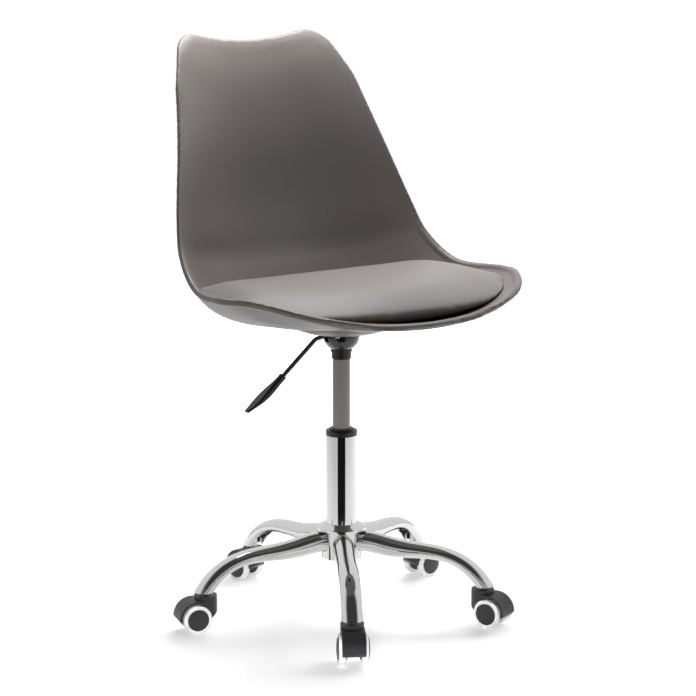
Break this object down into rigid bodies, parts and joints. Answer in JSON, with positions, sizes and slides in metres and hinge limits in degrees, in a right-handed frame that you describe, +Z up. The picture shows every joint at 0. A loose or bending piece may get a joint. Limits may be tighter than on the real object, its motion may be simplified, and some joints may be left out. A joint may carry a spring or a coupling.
{
  "type": "swivel desk chair",
  "caption": "Swivel desk chair with a one-piece bucket shell and padded seat on a gas lift, with a release lever and a star base on twin-wheel casters.",
  "frame": {"origin": "on the floor, on the axis of the column", "axes": "+Z up along the column, the seat faces -Y, the sitter's right and the release lever are towards -X"},
  "size_m": [0.5441, 0.527, 0.9144],
  "materials": {
    "shell": "fine matt grain",
    "cushion": "soft matt artificial leather",
    "board": "plain plywood",
    "insert": "plain",
    "seat_plate": "glossy black",
    "steel": "zinc plated",
    "lever": "satin black",
    "black_plastic": "satin",
    "lift_tube": "satin grey",
    "bumper": "matt",
    "chrome": "mirror polished",
    "caster": "satin",
    "wheel": "satin",
    "tyre": "matt pale grey"
  },
  "bodies": {
    "base": {"base_hub": "chrome", "leg_1": "chrome", "leg_2": "chrome", "leg_3": "chrome", "leg_4": "chrome", "leg_5": "chrome", "leg_sockets": "steel", "caster_stems": "steel", "grip_rings": "steel", "column_tube": "chrome", "guide_bush": "black_plastic", "thrust_bearing": "steel"},
    "lift_rod": {"piston_rod": "steel", "lift_bumper": "bumper", "rod_clip": "steel"},
    "seat": {"seat_shell": "shell", "seat_cushion": "cushion", "cushion_board": "board", "shell_inserts": "insert", "seat_plate": "seat_plate", "plate_screws": "steel", "taper_socket": "steel", "lever_bracket": "steel", "lever_pivot_pin": "steel", "pressure_tube": "lift_tube", "tube_boot": "black_plastic"},
    "lever": {"lever_rod": "lever", "lever_paddle": "black_plastic"},
    "release_pin": {"release_pin": "steel"},
    "caster_1": {"caster_1_hood": "caster", "caster_1_axle": "steel"},
    "caster_1_left_roller": {"caster_1_left_wheel": "wheel", "caster_1_left_tyre": "tyre"},
    "caster_1_right_roller": {"caster_1_right_wheel": "wheel", "caster_1_right_tyre": "tyre"},
    "caster_2": {"caster_2_hood": "caster", "caster_2_axle": "steel"},
    "caster_2_left_roller": {"caster_2_left_wheel": "wheel", "caster_2_left_tyre": "tyre"},
    "caster_2_right_roller": {"caster_2_right_wheel": "wheel", "caster_2_right_tyre": "tyre"},
    "caster_3": {"caster_3_hood": "caster", "caster_3_axle": "steel"},
    "caster_3_left_roller": {"caster_3_left_wheel": "wheel", "caster_3_left_tyre": "tyre"},
    "caster_3_right_roller": {"caster_3_right_wheel": "wheel", "caster_3_right_tyre": "tyre"},
    "caster_4": {"caster_4_hood": "caster", "caster_4_axle": "steel"},
    "caster_4_left_roller": {"caster_4_left_wheel": "wheel", "caster_4_left_tyre": "tyre"},
    "caster_4_right_roller": {"caster_4_right_wheel": "wheel", "caster_4_right_tyre": "tyre"},
    "caster_5": {"caster_5_hood": "caster", "caster_5_axle": "steel"},
    "caster_5_left_roller": {"caster_5_left_wheel": "wheel", "caster_5_left_tyre": "tyre"},
    "caster_5_right_roller": {"caster_5_right_wheel": "wheel", "caster_5_right_tyre": "tyre"}
  },
  "joints": [
    {"name": "seat_swivel", "type": "hinge", "parent": "base", "child": "lift_rod", "pos_m": [0, 0, 0.1], "axis": [0, 0, 1], "continuous": true},
    {"name": "seat_lift", "type": "slide", "parent": "lift_rod", "child": "seat", "axis": [0, 0, 1], "range_m": [-0.1, 0]},
    {"name": "lever_lift", "type": "hinge", "parent": "seat", "child": "lever", "pos_m": [-0.022, 0, 0.45743], "axis": [0, 1, 0], "range_deg": [0, 8], "stiffness_Nm_per_rad": 3, "springref_deg": -2.86},
    {"name": "pin_press", "type": "slide", "parent": "seat", "child": "release_pin", "axis": [0, 0, 1], "range_m": [-0.0032, 0]},
    {"name": "caster_1_swivel", "type": "hinge", "parent": "base", "child": "caster_1", "pos_m": [-0.11846, -0.19715, 0.05], "axis": [0, 0, 1], "continuous": true},
    {"name": "caster_1_left_roll", "type": "hinge", "parent": "caster_1", "child": "caster_1_left_roller", "pos_m": [-0.12824, -0.21344, 0.023], "axis": [0.8572, -0.515, 0], "continuous": true},
    {"name": "caster_1_right_roll", "type": "hinge", "parent": "caster_1", "child": "caster_1_right_roller", "pos_m": [-0.12824, -0.21344, 0.023], "axis": [0.8572, -0.515, 0], "continuous": true},
    {"name": "caster_2_swivel", "type": "hinge", "parent": "base", "child": "caster_2", "pos_m": [0.15089, -0.17358, 0.05], "axis": [0, 0, 1], "continuous": true},
    {"name": "caster_2_left_roll", "type": "hinge", "parent": "caster_2", "child": "caster_2_left_roller", "pos_m": [0.1577, -0.19132, 0.023], "axis": [0.9336, 0.3584, 0], "continuous": true},
    {"name": "caster_2_right_roll", "type": "hinge", "parent": "caster_2", "child": "caster_2_right_roller", "pos_m": [0.1577, -0.19132, 0.023], "axis": [0.9336, 0.3584, 0], "continuous": true},
    {"name": "caster_3_swivel", "type": "hinge", "parent": "base", "child": "caster_3", "pos_m": [0.21172, 0.08987, 0.05], "axis": [0, 0, 1], "continuous": true},
    {"name": "caster_3_left_roll", "type": "hinge", "parent": "caster_3", "child": "caster_3_left_roller", "pos_m": [0.23057, 0.09218, 0.023], "axis": [-0.1219, 0.9925, 0], "continuous": true},
    {"name": "caster_3_right_roll", "type": "hinge", "parent": "caster_3", "child": "caster_3_right_roller", "pos_m": [0.23057, 0.09218, 0.023], "axis": [-0.1219, 0.9925, 0], "continuous": true},
    {"name": "caster_4_swivel", "type": "hinge", "parent": "base", "child": "caster_4", "pos_m": [-0.02005, 0.22912, 0.05], "axis": [0, 0, 1], "continuous": true},
    {"name": "caster_4_left_roll", "type": "hinge", "parent": "caster_4", "child": "caster_4_left_roller", "pos_m": [-0.02432, 0.24764, 0.023], "axis": [-0.9744, -0.225, 0], "continuous": true},
    {"name": "caster_4_right_roll", "type": "hinge", "parent": "caster_4", "child": "caster_4_right_roller", "pos_m": [-0.02432, 0.24764, 0.023], "axis": [-0.9744, -0.225, 0], "continuous": true},
    {"name": "caster_5_swivel", "type": "hinge", "parent": "base", "child": "caster_5", "pos_m": [-0.2241, 0.05174, 0.05], "axis": [0, 0, 1], "continuous": true},
    {"name": "caster_5_left_roll", "type": "hinge", "parent": "caster_5", "child": "caster_5_left_roller", "pos_m": [-0.24254, 0.05634, 0.023], "axis": [-0.2419, -0.9703, 0], "continuous": true},
    {"name": "caster_5_right_roll", "type": "hinge", "parent": "caster_5", "child": "caster_5_right_roller", "pos_m": [-0.24254, 0.05634, 0.023], "axis": [-0.2419, -0.9703, 0], "continuous": true}
  ],
  "couplings": [
    {"joint": "pin_press", "follows": "lever_lift", "m_per_rad": -0.022}
  ]
}
